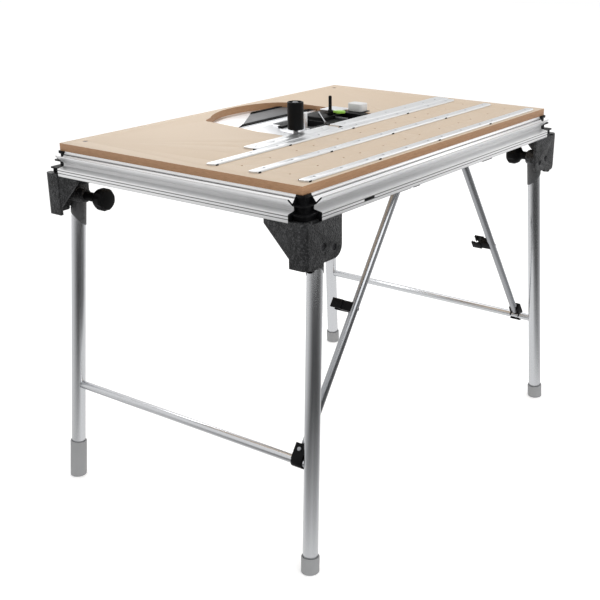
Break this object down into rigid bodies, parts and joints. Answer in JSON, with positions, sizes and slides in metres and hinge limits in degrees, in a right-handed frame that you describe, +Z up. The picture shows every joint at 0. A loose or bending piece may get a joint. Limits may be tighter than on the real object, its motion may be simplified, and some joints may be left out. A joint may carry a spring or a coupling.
{
  "type": "router table",
  "caption": "Folding-leg workshop router table with a fibreboard top, glide strips, grooved aluminium frame and a machine cut-out with a guide roller.",
  "frame": {"origin": "floor level, under the centre of the overall box", "axes": "+Z up, +X along the long side, +Y along the short side; the side with the braces faces -Y"},
  "size_m": [1.1952, 0.814, 0.9568],
  "materials": {
    "board": "fine fibreboard, matte",
    "strip": "satin anodised",
    "profile": "satin anodised",
    "black_plastic": "matte moulded",
    "casting": "dark mottled casting",
    "steel": "zinc plated",
    "rubber": "matte",
    "sheet": "satin",
    "panel": "dark grey, satin",
    "leg_paint": "silver grey, semi-gloss",
    "brace_paint": "mid grey, semi-gloss",
    "foot_plastic": "matte grey",
    "box_plastic": "light grey, satin",
    "lever_plastic": "lime green, satin"
  },
  "bodies": {
    "table": {"tabletop": "board", "front_profile": "profile", "rear_profile": "profile", "left_profile": "profile", "right_profile": "profile", "corner_connectors": "black_plastic", "bracket_front_left": "casting", "bracket_rear_left": "casting", "bracket_front_right": "casting", "bracket_rear_right": "casting", "bracket_screws": "steel", "hinge_bolts": "steel", "bracket_bumpers": "rubber", "strip_front": "strip", "strip_middle": "strip", "strip_rear": "strip", "edge_strip_left": "strip", "edge_strip_right": "strip", "top_screws": "steel", "strip_plugs": "black_plastic", "slot_insert": "black_plastic", "brace_bracket_left": "black_plastic", "brace_bracket_right": "black_plastic", "support_tray": "sheet", "adapter_plate": "sheet", "cover_panel": "panel", "cover_seals": "rubber", "machine_housing": "black_plastic", "edge_plate": "sheet", "tie_rod": "steel", "angle_bracket": "sheet", "roller_shaft": "steel", "cover_box": "box_plastic", "cover_base": "black_plastic", "guide_post": "black_plastic"},
    "left_legs": {"leg_front_left": "leg_paint", "leg_rear_left": "leg_paint", "leg_heads_left": "casting", "cross_bar_left": "leg_paint", "foot_cap_left": "foot_plastic", "brace_socket_left": "black_plastic"},
    "right_legs": {"leg_front_right": "leg_paint", "leg_rear_right": "leg_paint", "leg_heads_right": "casting", "cross_bar_right": "leg_paint", "foot_caps_right": "foot_plastic", "brace_socket_right": "black_plastic"},
    "levelling_foot": {"levelling_foot": "foot_plastic"},
    "brace_left": {"brace_tube_left": "brace_paint", "brace_clip_left": "black_plastic"},
    "brace_right": {"brace_tube_right": "brace_paint", "brace_clip_right": "black_plastic"},
    "release_button_left": {"release_button_left": "steel"},
    "release_button_right": {"release_button_right": "steel"},
    "knob_front_left": {"knob_front_left": "black_plastic"},
    "knob_rear_left": {"knob_rear_left": "black_plastic"},
    "knob_front_right": {"knob_front_right": "black_plastic"},
    "knob_rear_right": {"knob_rear_right": "black_plastic"},
    "guide_roller": {"guide_roller": "black_plastic"},
    "clamp_lever": {"clamp_lever": "lever_plastic"}
  },
  "joints": [
    {"name": "left_legs_fold", "type": "hinge", "parent": "table", "child": "left_legs", "pos_m": [-0.52, 0, 0.753], "axis": [0, -1, 0], "range_deg": [0, 96.3]},
    {"name": "brace_left_fold", "type": "hinge", "parent": "table", "child": "brace_left", "pos_m": [-0.169, -0.3425, 0.805], "axis": [0, -1, 0], "range_deg": [0, 128.4]},
    {"name": "right_legs_fold", "type": "hinge", "parent": "table", "child": "right_legs", "pos_m": [0.52, 0, 0.75], "axis": [0, 1, 0], "range_deg": [0, 90.1]},
    {"name": "brace_right_fold", "type": "hinge", "parent": "table", "child": "brace_right", "pos_m": [0.18, -0.316, 0.79], "axis": [0, 1, 0], "range_deg": [0, 127]},
    {"name": "levelling_foot_extend", "type": "slide", "parent": "left_legs", "child": "levelling_foot", "axis": [-0.0892, 0.037, -0.9953], "range_m": [0, 0.015]},
    {"name": "release_button_left_press", "type": "slide", "parent": "left_legs", "child": "release_button_left", "axis": [0.8182, 0, -0.5749], "range_m": [0, 0.003], "stiffness_N_per_m": 350, "springref_m": -0.002},
    {"name": "release_button_right_press", "type": "slide", "parent": "right_legs", "child": "release_button_right", "axis": [-0.8186, 0, -0.5744], "range_m": [0, 0.003], "stiffness_N_per_m": 350, "springref_m": -0.002},
    {"name": "knob_front_left_turn", "type": "hinge", "parent": "table", "child": "knob_front_left", "pos_m": [-0.52, -0.358, 0.753], "axis": [0, 1, 0], "range_deg": [0, 270]},
    {"name": "knob_rear_left_turn", "type": "hinge", "parent": "table", "child": "knob_rear_left", "pos_m": [-0.52, 0.358, 0.753], "axis": [0, -1, 0], "range_deg": [0, 270]},
    {"name": "knob_front_right_turn", "type": "hinge", "parent": "table", "child": "knob_front_right", "pos_m": [0.52, -0.358, 0.75], "axis": [0, 1, 0], "range_deg": [0, 270]},
    {"name": "knob_rear_right_turn", "type": "hinge", "parent": "table", "child": "knob_rear_right", "pos_m": [0.52, 0.358, 0.75], "axis": [0, -1, 0], "range_deg": [0, 270]},
    {"name": "guide_roller_spin", "type": "hinge", "parent": "table", "child": "guide_roller", "pos_m": [-0.128, -0.014, 0.92], "axis": [0, 0, 1], "continuous": true},
    {"name": "clamp_lever_turn", "type": "hinge", "parent": "table", "child": "clamp_lever", "pos_m": [0.15, 0.084, 0.885], "axis": [0, 0, -1], "range_deg": [0, 75]}
  ],
  "couplings": [
    {"joint": "brace_left_fold", "follows": "left_legs_fold", "ratio": 1.3302},
    {"joint": "brace_right_fold", "follows": "right_legs_fold", "ratio": 1.4057}
  ]
}
